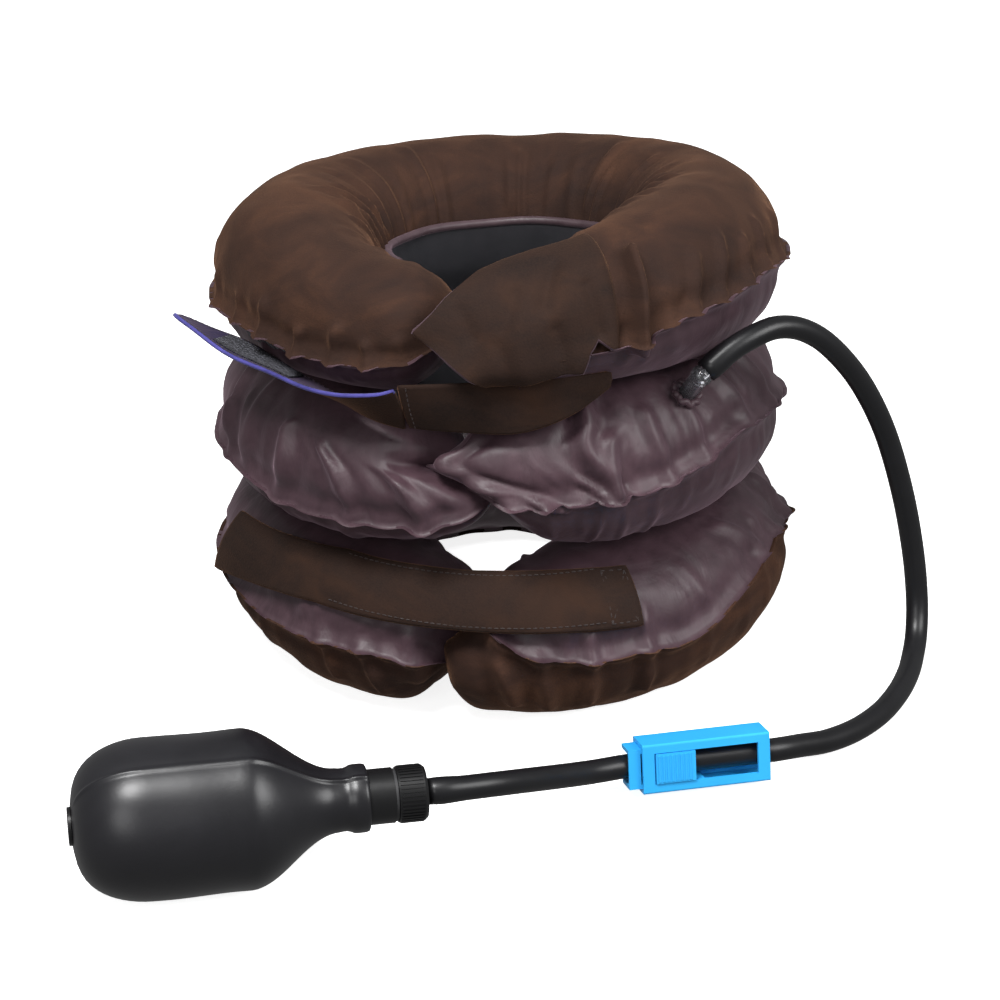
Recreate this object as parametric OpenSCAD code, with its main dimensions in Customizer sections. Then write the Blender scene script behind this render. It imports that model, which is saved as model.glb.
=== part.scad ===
// Inflatable three-tube cervical traction collar with a hand bulb, an air hose and a hose clamp.
// Millimetres, +Z up. The origin is the centre of the neck opening, on the surface the collar stands on.
// A ring angle is counted from the front of the collar (-Y) towards its right side (+X).

/* [Collar] */
// Radius of each air tube's centre line
ring_r = 83; // [81:0.5:86]
// Radius of an inflated air tube
tube_r = 33.5; // [33:0.25:34]
// Thickness of the fabric cover with its lining
cover_t = 1.5; // [1:0.1:2]
// Wall of the air bladder inside each cover
bladder_t = 1; // [0.6:0.1:1.2]
// Ring angle at which the two ends of every tube meet
meet_t = -14; // [-20:1:-8]
// Height of the upper tubes over the surface when inflated, at their centre lines
middle_z = 95; // [94:0.5:96]
// Height of the top tube's centre line
top_z = 157; // [156:0.5:158]

/* [Straps] */
// Thickness of a velour strap
strap_t = 1.6; // [1.2:0.1:2]
// Width of the upper strap
strap_w = 21; // [18:0.5:22]

/* [Hose and clamp] */
// Outer diameter of the rubber hose
hose_d = 9; // [8:0.25:9.5]
// Length of the clamp's outer sleeve
clamp_l = 49; // [44:1:54]
// Width of the clamp across its window
clamp_w = 19; // [18:0.5:21]
// Depth of the clamp from its window face to its back
clamp_d = 14; // [13.5:0.5:16]

/* [Bulb] */
// Largest radius of the bulb
bulb_r = 28.5; // [26:0.5:30]
// Length of the bulb from its rear to the neck rim
bulb_l = 104; // [98:1:110]
// Wall thickness of the bulb
bulb_t = 2.2; // [1.8:0.1:2.6]

/* [Hidden] */
$fn = 64;

far = 400;              // larger than anything that a cutting block has to cover
pair_gap = 0.4;         // free gap between two tubes where they press on each other
skin_gap = 0.3;         // free gap between a cover and its bladder, and at a cover's seam
end_gap = 2.4;          // gap between the two ends of one tube
taper_span = 26;        // ring degrees of tube that taper towards each end
taper_l = 60;           // length of the block that tapers, which the gap between the ends cuts short
taper_r = 14;          // radius of that block's far end
sides = 32;             // small flats round a tube's section
seam_h = [-9, -6, -9];  // height of each cover's seam over its centre line: bottom, middle, top

// Each tube's height, its forward tilt (front up) and its roll (right side up), in degrees
bottom_z = tube_r - 1;
place_of = [[bottom_z, 0, 0], [middle_z, 5, 2], [top_z, 8, 2.5]];
// The planes on which neighbouring tubes press, halfway between them
plane_of = [[0, 0, 0], [(bottom_z + middle_z) / 2, 2.5, 1], [(middle_z + top_z) / 2, 6.5, 2.25], [0.6 * far, 0, 0]];

function on_ring(r, t, z = 0) = [r * sin(t), -r * cos(t), z];
function unit(v) = v / norm(v);
function degrees(arc) = arc / ring_r * 180 / PI;

module placed(p) { translate([0, 0, p[0]]) rotate([-p[1], -p[2], 0]) children(); }
module above(p, lift = 0) { placed(p) translate([-far / 2, -far / 2, lift]) cube([far, far, far]); }
module below(p, drop = 0) { placed(p) translate([-far / 2, -far / 2, -far - drop]) cube([far, far, far]); }

// A 2D outline swept round the collar from ring angle t0 to t1
module swept(t0, t1, r = ring_r) {
    rotate([0, 0, t0 - 90]) rotate_extrude(angle = t1 - t0, $fn = 96) translate([r, 0]) children();
}

// Points a local +Z along a direction
module aim(from, dir) {
    u = unit(dir);
    translate(from) rotate([0, acos(u[2]), atan2(u[1], u[0])]) children();
}

// ---- Air tubes ----

// Section of a tube, rounded by many small flats: the tubes are cut by sloping planes, which suits flats
module section(r) { polygon([for (i = [0:sides - 1]) r * [cos((i + 0.5) * 360 / sides), sin((i + 0.5) * 360 / sides)]]); }

// The whole C-shaped tube, flat in its own plane, with ends that taper; made smaller all round by inset
module tube_body(inset) {
    start = degrees(end_gap / 2) + taper_span;
    r = tube_r - inset;
    difference() {
        union() {
            swept(meet_t + start, meet_t + 360 - start) section(r);
            for (side = [-1, 1]) rotate([0, 0, meet_t + side * start]) translate([0, -ring_r, 0])
                rotate([0, -90 * side, 0]) linear_extrude(taper_l, scale = (taper_r - inset) / r) section(r);
        }
        rotate([0, 0, meet_t]) translate([-end_gap / 2 - inset, -2 * ring_r, -far / 2])
            cube([end_gap + 2 * inset, 2 * ring_r - 10, far]);
    }
}

// Tube k in its place, pressed flat against its neighbours and against the floor
module tube_solid(k, inset) {
    free = k == 0 ? 0 : pair_gap / 2;
    intersection() {
        placed(place_of[k]) tube_body(inset);
        above(plane_of[k], free + inset);
        below(plane_of[k + 1], pair_gap / 2 + inset);
    }
}

module tube_shell(k, outer, inner) {
    difference() {
        tube_solid(k, outer);
        tube_solid(k, inner);
    }
}

// The part of tube k's cover over its seam
module cover_above(k) {
    difference() {
        intersection() {
            tube_shell(k, 0, cover_t);
            above(place_of[k], seam_h[k] + skin_gap / 2);
        }
        if (k < 2) link_hole(k + 1);
        if (k == 1) inlet_hole();
    }
}

// The part of tube k's cover under its seam
module cover_below(k) {
    difference() {
        intersection() {
            tube_shell(k, 0, cover_t);
            below(place_of[k], -seam_h[k] + skin_gap / 2);
        }
        if (k > 0) link_hole(k);
    }
}

module air_bladder(k) {
    difference() {
        tube_shell(k, cover_t + skin_gap, cover_t + skin_gap + bladder_t);
        if (k > 0) link_hole(k);
        if (k < 2) link_hole(k + 1);
        if (k == 1) inlet_hole();
    }
}

// ---- Air links between the bladders, and the joining webs ----

link_r = 4.5;
link_bore_r = 2.5;
link_l = 2 * (cover_t + skin_gap + bladder_t + 2);
link_t = [150, 210];    // ring angles of the lower and the upper link

module on_plane(k, t) { placed(plane_of[k]) translate(on_ring(ring_r, t)) children(); }

module air_link(k) {
    on_plane(k, link_t[k - 1]) difference() {
        cylinder(r = link_r, h = link_l, center = true);
        cylinder(r = link_bore_r, h = link_l + 1, center = true);
    }
}

module link_hole(k) {
    on_plane(k, link_t[k - 1]) cylinder(r = link_r + 0.15, h = link_l + 2, center = true);
}

module inlet_hole() { aim(inlet_foot - 14 * inlet_out, inlet_out) cylinder(r = inlet_r + 0.15, h = 24); }

web_r = 58;
web_edge = [[4.6, 3], [3.6, 1.5]];    // half of each web's height at its middle, and how it opens to the front

// The fabric strip that is sewn to both tubes, seen inside the neck opening
module joining_web(k) {
    half = web_edge[k - 1][0];
    open = web_edge[k - 1][1];
    p = plane_of[k];
    intersection() {
        placed(p) swept(meet_t + 34, meet_t + 326, web_r) translate([0, -30]) square([1, 60]);
        below([p[0], p[1] + open, p[2]], -half);
        above([p[0], p[1] - open, p[2]], -half);
    }
}

// ---- Straps ----

// Outline of a layer that lies on a tube: from radius r0 to r1, over section angles a0 to a1
module layer(r0, r1, a0, a1) {
    reach = 3 * tube_r;
    mid = (a0 + a1) / 2;
    intersection() {
        difference() {
            circle(r1, $fn = 96);
            circle(r0, $fn = 96);
        }
        polygon([[0, 0], [reach * cos(a0), reach * sin(a0)], [reach * cos(mid), reach * sin(mid)],
                 [reach * cos(a1), reach * sin(a1)]]);
    }
}

loop_t = 0.8;
hook_t = 0.8;
layer_gap = 0.3;
loop_r = tube_r + layer_gap;
hook_r = loop_r + loop_t + layer_gap;
strap_r = hook_r + hook_t + layer_gap;
lower_strap_t = [-72, 26];
lower_strap_a = [14, 58];

module lower_loop() {
    placed(place_of[0]) swept(-70, -46) layer(loop_r, loop_r + loop_t, 20, 52);
}

module lower_hook() {
    placed(place_of[0]) swept(-68, -48) layer(hook_r, hook_r + hook_t, 22, 50);
}

module lower_band() {
    placed(place_of[0]) swept(lower_strap_t[0], lower_strap_t[1])
        layer(strap_r, strap_r + strap_t, lower_strap_a[0], lower_strap_a[1]);
}

// The upper strap's sewn part stands like a belt over the groove between the middle and the top tube
belt_r = 112.2;
belt_t = [-19.4, 20];
belt_low = -12.5;

module upper_band() {
    placed(plane_of[2]) swept(belt_t[0], belt_t[1], belt_r) translate([0, belt_low]) square([strap_t, strap_w]);
}

module upper_loop() {
    placed(place_of[2]) swept(-62, -40) layer(loop_r, loop_r + loop_t, -28, -4);
}

// The free tail: centre line points, and how far its upper edge leans outward at each, in degrees
tail_line = [[-38.4, -109.2, 134.5], [-48, -106.5, 134.5], [-58, -102, 135], [-69, -95, 136.5], [-80, -86.5, 138.5],
             [-91, -77, 140.5], [-102, -68.5, 143], [-114, -60.5, 146.5], [-127, -53, 151]];
tail_lean = [4, 14, 30, 48, 64, 74, 78, 80, 80];
tail_end = len(tail_line) - 1;

function tail_dir(i) = unit(tail_line[min(i + 1, tail_end)] - tail_line[max(i - 1, 0)]);
function tail_side(i) = unit(cross(tail_dir(i), [0, 0, 1]));   // horizontal, towards the collar
function tail_up(i) = cos(tail_lean[i]) * cross(tail_side(i), tail_dir(i)) - sin(tail_lean[i]) * tail_side(i);
function tail_in(i) = cross(tail_dir(i), tail_up(i));           // off the face that has the hook pad

// Solid with four-cornered sections, one ring of points after another
module prism_strip(rings) {
    n = len(rings[0]);
    last = len(rings) - 1;
    polyhedron(
        points = [for (ring = rings) for (p = ring) p],
        faces = concat(
            [[for (j = [0:n - 1]) j]],
            [for (i = [0:last - 1]) for (j = [0:n - 1])
                [i * n + j, (i + 1) * n + j, (i + 1) * n + (j + 1) % n, i * n + (j + 1) % n]],
            [[for (j = [n - 1:-1:0]) last * n + j]]),
        convexity = 4);
}

// A strip along the tail from station i0 to i1, w wide, from depth d0 to d1 off the strap's middle
module tail_strip(i0, i1, w, d0, d1) {
    prism_strip([for (i = [i0:i1]) let (c = tail_line[i], u = tail_up(i) * w / 2, n = tail_in(i))
        [c - u + n * d0, c + u + n * d0, c + u + n * d1, c - u + n * d1]]);
}

// ---- Top tube's overlapping end ----

flap_t = [-35, 21];

// The sewn flat end of the top cover, which laps over the other end of the tube
module end_flap() {
    placed(place_of[2]) union() {
        swept(flap_t[0], flap_t[1]) layer(tube_r + 0.4, tube_r + 1.9, -30, 68);
        swept(15, flap_t[1] - 1) layer(tube_r - 0.6, tube_r + 0.9, 0, 66);
    }
}

// ---- Air inlet ----

inlet_r = 3.6;
inlet_t = 41;
inlet_a = 52;
inlet_foot_r = ring_r + tube_r * cos(inlet_a);
inlet_foot = on_ring(inlet_foot_r, inlet_t,
    middle_z + ring_r * (cos(inlet_t) * sin(place_of[1][1]) + sin(inlet_t) * sin(place_of[1][2])) + tube_r * sin(inlet_a));
inlet_out = unit([cos(inlet_a) * sin(inlet_t), -cos(inlet_a) * cos(inlet_t), sin(inlet_a)]);
inlet_knee = inlet_foot + 13 * inlet_out;
hose_leaves = unit([0.76, 0.32, 0.56]);
barb_l = 12;

// Clear elbow: a stem that comes up through the middle cover, and a barb for the hose
module inlet_elbow() {
    difference() {
        union() {
            aim(inlet_foot - 9 * inlet_out, inlet_out) cylinder(r = inlet_r, h = 22);
            translate(inlet_knee) sphere(inlet_r + 0.6);
            aim(inlet_knee, hose_leaves) cylinder(r = 2.4, h = barb_l);
            for (s = [6.5, 9]) aim(inlet_knee + s * hose_leaves, hose_leaves) cylinder(r1 = 2.8, r2 = 2.4, h = 1.8);
        }
        aim(inlet_foot - 10 * inlet_out, inlet_out) cylinder(r = 2, h = 23);
        aim(inlet_knee, hose_leaves) cylinder(r = 1.6, h = barb_l + 1);
    }
}

// ---- Clamp ----

clamp_at = [72.8, -148.2, 10.8];
clamp_turn = 12.8;      // heading of the clamp's axis
clamp_lean = 12;        // how far its window face looks up
slide_travel = 22;
window_l = 40;
window_w = 12;
sleeve_wall = 1.6;

// A point in the clamp, a distance along it and out of its window
function clamp_point(along, out) = clamp_at + along * [cos(clamp_turn), sin(clamp_turn), 0]
    + out * [sin(clamp_turn) * cos(clamp_lean), -cos(clamp_turn) * cos(clamp_lean), sin(clamp_lean)];

// Local frame: X along the hose, Y out of the window, Z across it
module in_clamp() {
    translate(clamp_at) rotate([0, 0, clamp_turn]) rotate([-clamp_lean, 0, 0]) mirror([0, 1, 0]) children();
}

module rounded_bar(l, w, h, r) {
    for_edges = [[r, r], [w - r, r], [w - r, h - r], [r, h - r]];
    rotate([90, 0, 90]) linear_extrude(l) translate([-w / 2, -h / 2]) polygon(concat(
        [for (a = [180:30:270]) [r + r * cos(a), r + r * sin(a)]],
        [for (a = [270:30:360]) [w - r + r * cos(a), r + r * sin(a)]],
        [for (a = [0:30:90]) [w - r + r * cos(a), h - r + r * sin(a)]],
        [for (a = [90:30:180]) [r + r * cos(a), h - r + r * sin(a)]]));
}

thumb_l = 16;
window_x = -clamp_l / 2 + 4.5;   // where the window starts
tray_l = clamp_l + 5;
tray_gap = 0.3;

module sleeve() {
    in_clamp() difference() {
        translate([-clamp_l / 2, 0, 0]) rounded_bar(clamp_l, clamp_d, clamp_w, 0.8);
        // channel for the hose and the slide's tray
        translate([-clamp_l / 2 - 1, -clamp_d / 2 + sleeve_wall, -clamp_w / 2 + sleeve_wall])
            cube([clamp_l + 2, clamp_d - 2 * sleeve_wall, clamp_w - 2 * sleeve_wall]);
        // window in the face
        translate([window_x, 0, -window_w / 2]) cube([window_l, clamp_d, window_w]);
    }
}

// The slide: a U-shaped tray inside the sleeve, whose ribbed thumb pad comes out of the window
module slide() {
    y0 = -clamp_d / 2 + sleeve_wall + tray_gap;
    z1 = clamp_w / 2 - sleeve_wall - tray_gap;
    pad_y = hose_d / 2 + 0.5;
    depth = clamp_d - 2 * (sleeve_wall + tray_gap);
    in_clamp() union() {
        for (side = [-1, 1])
            translate([-clamp_l / 2 - 5, y0, side > 0 ? z1 - 1.6 : -z1]) cube([clamp_l - slide_travel + 2, depth, 1.6]);
        translate([-clamp_l / 2 - 5, clamp_d / 2 - sleeve_wall - tray_gap - 0.9, -z1]) cube([4.6, 0.9, 2 * z1]);
        translate([window_x + 0.4, clamp_d / 2 - sleeve_wall - tray_gap - 0.9, -z1]) cube([thumb_l - 2, 0.9, 2 * z1]);
        translate([window_x + 0.4, clamp_d / 2 - sleeve_wall - tray_gap - 0.5, -window_w / 2 + tray_gap])
            cube([thumb_l - 0.8, sleeve_wall + tray_gap + 1.1, window_w - 2 * tray_gap]);
        for (i = [0:7]) translate([window_x + 1.6 + i * 1.7, clamp_d / 2 + 0.5, 0])
            cylinder(r = 0.55, h = window_w - 2, center = true, $fn = 24);
    }
}

// ---- Bulb, with its axis along local X and its rim at the local origin ----

rim_at = [-49.5, -207.5, bulb_r];
bulb_turn = 11;
neck_r = 11.2;
rim_r = 12.2;
shoulder_l = 44;
dome_l = 26;
collar_l = 9;
cap_l = 11.4;
stem_r = 6;
cap_r = 10.3;
bore_r = 1.5;

module in_bulb() { translate(rim_at) rotate([0, 0, bulb_turn]) children(); }

// Turns an outline of [along the axis, radius] about the bulb's axis
module turned(outline) { rotate([0, 90, 0]) rotate_extrude($fn = 72) polygon([for (p = outline) [p[1], p[0]]]); }

function dome_radius(x, r) = r * pow(1 - pow(1 - x / dome_l, 2.4), 1 / 2.4);
function shoulder_radius(x, r, n) = n + (r - n) * (0.5 + 0.5 * cos(180 * x / shoulder_l));

// Outline of the bulb's skin, inset from the outside
function bulb_outline(inset) = concat(
    [[-bulb_l + inset, 0]],
    [for (i = [1:9]) let (x = dome_l * pow(i / 9, 2)) [-bulb_l + inset + x * (dome_l - inset) / dome_l,
        dome_radius(x, bulb_r - inset)]],
    [for (i = [0:10]) let (x = shoulder_l * i / 10) [-shoulder_l - 2 + x, shoulder_radius(x, bulb_r - inset, neck_r - inset)]]);

module bulb_skin() {
    in_bulb() difference() {
        union() {
            turned(concat(bulb_outline(0), [[-2, 0]]));
            translate([-4.2, 0, 0]) rotate([0, 90, 0]) cylinder(r = neck_r, h = 4.2);
            rotate([0, 90, 0]) rotate_extrude() translate([rim_r - 1.8, -1.8]) circle(1.8, $fn = 24);
        }
        turned(concat(bulb_outline(bulb_t), [[-1.9, 0]]));
        translate([-6, 0, 0]) rotate([0, 90, 0]) cylinder(r = neck_r - bulb_t, h = 7);
        translate([-bulb_l - 1, 0, 0]) rotate([0, 90, 0]) cylinder(r = seat_r, h = 6);
    }
}

module along(x, r, l, r2 = 0) { translate([x, 0, 0]) rotate([0, 90, 0]) cylinder(r1 = r, r2 = r2 > 0 ? r2 : r, h = l); }

// Plastic insert in the neck: a valve chamber, a stem for the screw cap and a barb for the hose
module connector() {
    in_bulb() difference() {
        union() {
            along(-12, neck_r - bulb_t - 0.02, 12.2);
            along(0.2, 9.9, collar_l);
            along(collar_l, stem_r, cap_l + 0.8);
            along(collar_l + cap_l, 2.4, 13);
            for (i = [0:2]) along(collar_l + cap_l + 2.6 + 3.4 * i, 2.4, 2.4, 2.85);
        }
        along(-13, 5.2, 15.4);
        along(2, bore_r, 60);
    }
}

// The outlet valve's disc rests on the retainer ring, and lifts towards the hose
module outlet_disc() { in_bulb() along(-1.4, 4.2, 1.2); }

module outlet_retainer() {
    in_bulb() difference() {
        along(-8, 5.18, 6.3);
        along(-9, 2.4, 9);
    }
}

module washer() {
    in_bulb() difference() {
        along(collar_l + 0.3, 9.4, 1);
        along(collar_l, stem_r + 0.05, 2);
    }
}

knurl_count = 44;

// Knurled cap that is screwed onto the connector's stem
module cap() {
    in_bulb() difference() {
        union() {
            along(collar_l + 1.5, cap_r - 0.35, cap_l - 2);
            along(collar_l + cap_l - 0.5, cap_r - 0.35, 1, cap_r - 1.2);
            translate([collar_l + 2.2, 0, 0]) rotate([0, 90, 0]) linear_extrude(cap_l - 3.2) difference() {
                union() {
                    for (i = [0:knurl_count / 2 - 1]) rotate(i * 360 / knurl_count) square([2 * cap_r, 0.6], center = true);
                }
                circle(cap_r - 1);
            }
        }
        along(collar_l, stem_r + 0.06, cap_l + 2);
    }
}

// ---- Inlet valve in the bulb's rear ----

seat_r = 5;

module inlet_seat() {
    in_bulb() difference() {
        union() {
            along(-bulb_l - 1.1, 6.8, 1);
            along(-bulb_l - 0.5, seat_r - 0.02, 8);
        }
        along(-bulb_l - 2, 1.5, 12);
        along(-bulb_l + 2, 3.6, 8);
    }
}

module inlet_disc() { in_bulb() along(-bulb_l + 2.3, 3.1, 1); }

module inlet_retainer() {
    in_bulb() difference() {
        along(-bulb_l + 4.8, 3.58, 2.4);
        along(-bulb_l + 4, 2, 4);
    }
}

// ---- Hose ----

hose_start = inlet_knee + 5 * hose_leaves;
bulb_axis = [cos(bulb_turn), sin(bulb_turn), 0];
hose_stop = rim_at + (collar_l + cap_l + 1.2) * bulb_axis;
// Centre line of the hose, from the air inlet, over to the floor, through the clamp and on to the bulb
hose_route = concat([hose_start, inlet_knee + 16 * hose_leaves], [
    [94.5, -74.5, 151.8], [103, -69.5, 152.8], [113, -64, 149.5], [124, -58, 140.5], [137, -50.5, 123], [148.5, -44.5, 99.5],
    [157.5, -40, 71], [163.5, -37.5, 43.5], [166, -39, 23], [165.5, -46, 11], [163, -57, 6], [159.5, -70, 4.7],
    [153.5, -86, 4.6], [145, -102, 4.6], [134, -116, 5], [122, -127, 6.3], [111, -135, 8.8]], [for (s = [28, 0, -28]) clamp_point(s, -0.75)], [
    [31.8, -160.4, 11.9], [19.7, -171.3, 16.3], [7.5, -183.6, 21.7], [-5, -194.4, 26.2],
    hose_stop + 9 * bulb_axis - [0, 0, 0.1]], [hose_stop]);
hose_bore = 3.2;        // radius of the hose's bore, measured to its corners
hose_sides = 10;
hose_fill = 2;          // rings between two route points

// Smooth curve through the route's points
function route_at(i) = hose_route[max(0, min(len(hose_route) - 1, i))];
function curve(i, f) = let (a = route_at(i - 1), b = route_at(i), c = route_at(i + 1), d = route_at(i + 2))
    0.5 * (2 * b + (c - a) * f + (2 * a - 5 * b + 4 * c - d) * f * f + (3 * b - a - 3 * c + d) * f * f * f);
hose_line = concat([for (i = [0:len(hose_route) - 2]) for (k = [0:hose_fill - 1]) curve(i, k / hose_fill)],
    [hose_route[len(hose_route) - 1]]);
hose_last = len(hose_line) - 1;

function hose_dir(i) = i == 0 ? hose_leaves : i == hose_last ? -bulb_axis
    : unit(hose_line[i + 1] - hose_line[i - 1]);
// The section's first axis is carried from ring to ring, so that the tube doesn't twist
function carried(i) = i == 0 ? unit(cross(hose_dir(0), [0, 0, 1])) :
    let (before = carried(i - 1), d = hose_dir(i)) unit(before - d * (before * d));

// The hose's centre line swept at radius r, longer at both ends by spare
module hose_tube(r, spare = 0) {
    prism_strip([for (i = [0:hose_last]) let (a = carried(i), b = cross(hose_dir(i), a),
        c = hose_line[i] + spare * (i == 0 ? -1 : i == hose_last ? 1 : 0) * hose_dir(i))
        [for (j = [0:hose_sides - 1]) c + r * (cos(j * 360 / hose_sides) * a + sin(j * 360 / hose_sides) * b)]]);
}

// ---- Nodes ----

velour = "#4a3024";
satin = "#54424a";

module bottom_cover_base() { color(velour) cover_below(0); }
module bottom_cover_top() { color(satin) cover_above(0); }
module bottom_bladder() { color("lightgray") air_bladder(0); }
module middle_cover_lower() { color(satin) cover_below(1); }
module middle_cover_upper() { color(satin) cover_above(1); }
module middle_bladder() { color("lightgray") air_bladder(1); }
module top_cover_lower() { color(satin) cover_below(2); }
module top_cover_upper() { color(velour) union() { cover_above(2); end_flap(); } }
module top_bladder() { color("lightgray") air_bladder(2); }
module lower_joining_web() { color(satin) joining_web(1); }
module upper_joining_web() { color(satin) joining_web(2); }
module lower_air_link() { color("whitesmoke") air_link(1); }
module upper_air_link() { color("whitesmoke") air_link(2); }
module lower_loop_patch() { color("#241a18") lower_loop(); }
module lower_strap() { color(velour) lower_band(); }
module lower_hook_pad() { color("#1c1c22") lower_hook(); }
module upper_strap_band() { color(velour) upper_band(); }
module upper_loop_patch() { color("#241a18") upper_loop(); }
module upper_strap_tail() { color("#2b2f8c") tail_strip(0, tail_end, strap_w, -strap_t / 2, strap_t / 2); }
module upper_hook_pad() { color("#1c1c22") tail_strip(4, 6, 16, strap_t / 2 + 0.05, strap_t / 2 + 0.75); }
module air_inlet_elbow() { color("whitesmoke") inlet_elbow(); }
module hose() {
    color("#1b1b1f") difference() {
        hose_tube(hose_d / 2);
        hose_tube(hose_bore, 1);
    }
}
module clamp_housing() { color("#2aa5f5") sleeve(); }
module clamp_slide() { color("#45b4ff") slide(); }
module bulb() { color("#222226") bulb_skin(); }
module bulb_connector() { color("#242428") connector(); }
module outlet_valve_disc() { color("#7a3b2e") outlet_disc(); }
module outlet_valve_retainer() { color("#8d8d90") outlet_retainer(); }
module sealing_washer() { color("#111111") washer(); }
module screw_cap() { color("#2a2a2e") cap(); }
module inlet_valve_seat() { color("#1d1d20") inlet_seat(); }
module inlet_valve_disc() { color("#7a3b2e") inlet_disc(); }
module inlet_valve_retainer() { color("#8d8d90") inlet_retainer(); }

bottom_cover_base();
bottom_cover_top();
bottom_bladder();
middle_cover_lower();
middle_cover_upper();
middle_bladder();
top_cover_lower();
top_cover_upper();
top_bladder();
lower_joining_web();
upper_joining_web();
lower_air_link();
upper_air_link();
lower_loop_patch();
lower_strap();
lower_hook_pad();
upper_strap_band();
upper_loop_patch();
upper_strap_tail();
upper_hook_pad();
air_inlet_elbow();
hose();
clamp_housing();
clamp_slide();
bulb();
bulb_connector();
outlet_valve_disc();
outlet_valve_retainer();
sealing_washer();
screw_cap();
inlet_valve_seat();
inlet_valve_disc();
inlet_valve_retainer();
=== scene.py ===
"""Looks of the inflatable neck collar, its hose, clamp and bulb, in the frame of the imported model. Metres, +Z up."""
import math
import random

import bmesh
import bpy
import numpy as np
from mathutils import Matrix, Vector, noise


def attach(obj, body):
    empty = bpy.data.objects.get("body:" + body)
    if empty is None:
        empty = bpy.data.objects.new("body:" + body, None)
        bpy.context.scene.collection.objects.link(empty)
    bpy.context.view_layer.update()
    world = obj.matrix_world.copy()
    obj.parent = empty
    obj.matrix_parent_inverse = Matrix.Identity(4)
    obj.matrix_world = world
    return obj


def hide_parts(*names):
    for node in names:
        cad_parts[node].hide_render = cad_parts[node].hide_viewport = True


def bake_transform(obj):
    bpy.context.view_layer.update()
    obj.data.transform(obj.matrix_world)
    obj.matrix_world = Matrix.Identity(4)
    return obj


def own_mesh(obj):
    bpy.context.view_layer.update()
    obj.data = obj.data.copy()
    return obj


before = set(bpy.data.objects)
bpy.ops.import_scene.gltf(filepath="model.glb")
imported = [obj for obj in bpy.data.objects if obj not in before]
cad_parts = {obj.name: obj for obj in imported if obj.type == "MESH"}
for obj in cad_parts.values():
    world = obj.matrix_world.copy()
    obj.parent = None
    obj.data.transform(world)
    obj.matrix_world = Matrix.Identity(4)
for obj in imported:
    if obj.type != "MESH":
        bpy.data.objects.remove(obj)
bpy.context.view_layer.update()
MM = 0.001

# ---------------------------------------------------------------- sizes, as in the solid model (mm and degrees)

RING_R = 83.0
TUBE_R = 33.5
TUBES = [  # height of the centre line, forward tilt, roll
    (32.5, 0.0, 0.0),
    (95.0, 5.0, 2.0),
    (157.0, 8.0, 2.5),
]
PLANES = [(64.0, 2.5, 1.0), (126.0, 6.5, 2.25)]  # where neighbouring tubes press on each other
BULB_RIM = Vector((-49.5, -207.5, 28.5))
BULB_TURN = 11.0
CLAMP_AT = Vector((72.8, -148.2, 10.8))
CLAMP_TURN = 12.8
CLAMP_LEAN = 12.0
HOSE_D = 9.0
KNEE = Vector((73.2, -84.2, 139.2))  # where the air inlet turns
LEAVES = Vector((0.76, 0.32, 0.56)).normalized()  # the way it turns


def tilted(z, tilt, roll):
    """Matrix in mm of a plane across the collar at height z."""
    return (
        Matrix.Translation((0, 0, z))
        @ Matrix.Rotation(math.radians(-roll), 4, "Y")
        @ Matrix.Rotation(math.radians(-tilt), 4, "X")
    )


TUBE_M = [tilted(*t) for t in TUBES]
PLANE_M = [tilted(*p) for p in PLANES]


def on_ring(r, t, z):
    """Point at ring angle t, counted in degrees from the front towards +X."""
    a = math.radians(t)
    return Vector((r * math.sin(a), -r * math.cos(a), z))


# ---------------------------------------------------------------- camera

def make_camera():
    data = bpy.data.cameras.new("camera")
    data.lens = 110.25
    data.sensor_width = 36.0
    data.shift_x = -0.007
    data.shift_y = -0.092
    data.clip_start = 0.05
    data.clip_end = 50
    camera = bpy.data.objects.new("camera", data)
    bpy.context.scene.collection.objects.link(camera)
    camera.location = (0, -1.1506, 0.5784)
    toward = Vector((0, 0, 0.09)) - camera.location
    camera.rotation_euler = toward.to_track_quat("-Z", "Y").to_euler()
    bpy.context.scene.camera = camera


make_camera()


# ---------------------------------------------------------------- mesh helpers

def add_object(name, points_mm, faces, materials=(), face_mats=None):
    """A smooth-shaded mesh object from points in mm."""
    mesh = bpy.data.meshes.new(name)
    mesh.from_pydata((np.asarray(points_mm, float) * MM).tolist(), [], faces)
    obj = bpy.data.objects.new(name, mesh)
    bpy.context.scene.collection.objects.link(obj)
    for m in materials:
        mesh.materials.append(m)
    if face_mats is not None:
        mesh.polygons.foreach_set("material_index", face_mats)
    mesh.polygons.foreach_set("use_smooth", [True] * len(mesh.polygons))
    mesh.update()
    return obj


def face_outwards(obj):
    bm = bmesh.new()
    bm.from_mesh(obj.data)
    bmesh.ops.recalc_face_normals(bm, faces=bm.faces)
    bm.to_mesh(obj.data)
    bm.free()
    return obj


def belongs(piece, body, node=None):
    """Says which body the piece rides on, and which CAD node it stands for."""
    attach(piece, body)
    if node:
        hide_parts(node)
    return piece


def tube_faces(rows, cols, base=0):
    """Faces between rows rings of cols points each and the ring after each, from point number base."""
    faces = []
    for i in range(rows):
        low, high = base + i * cols, base + (i + 1) * cols
        for j in range(cols):
            n = (j + 1) % cols
            faces.append((low + j, low + n, high + n, high + j))
    return faces


def spline(points, step):
    """Catmull-Rom curve through points, sampled about every step mm."""
    p = vectors(points)
    p = [p[0] * 2 - p[1]] + p + [p[-1] * 2 - p[-2]]
    out = []
    for a, b, c, d in zip(p, p[1:], p[2:], p[3:]):
        n = max(1, int((c - b).length / step + 0.5))
        for i in range(n):
            t = i / n
            cubic = 3 * b - a - 3 * c + d
            out.append(0.5 * (2 * b + (c - a) * t + (2 * a - 5 * b + 4 * c - d) * t * t + cubic * t ** 3))
    out.append(p[-2])
    return out


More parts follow.
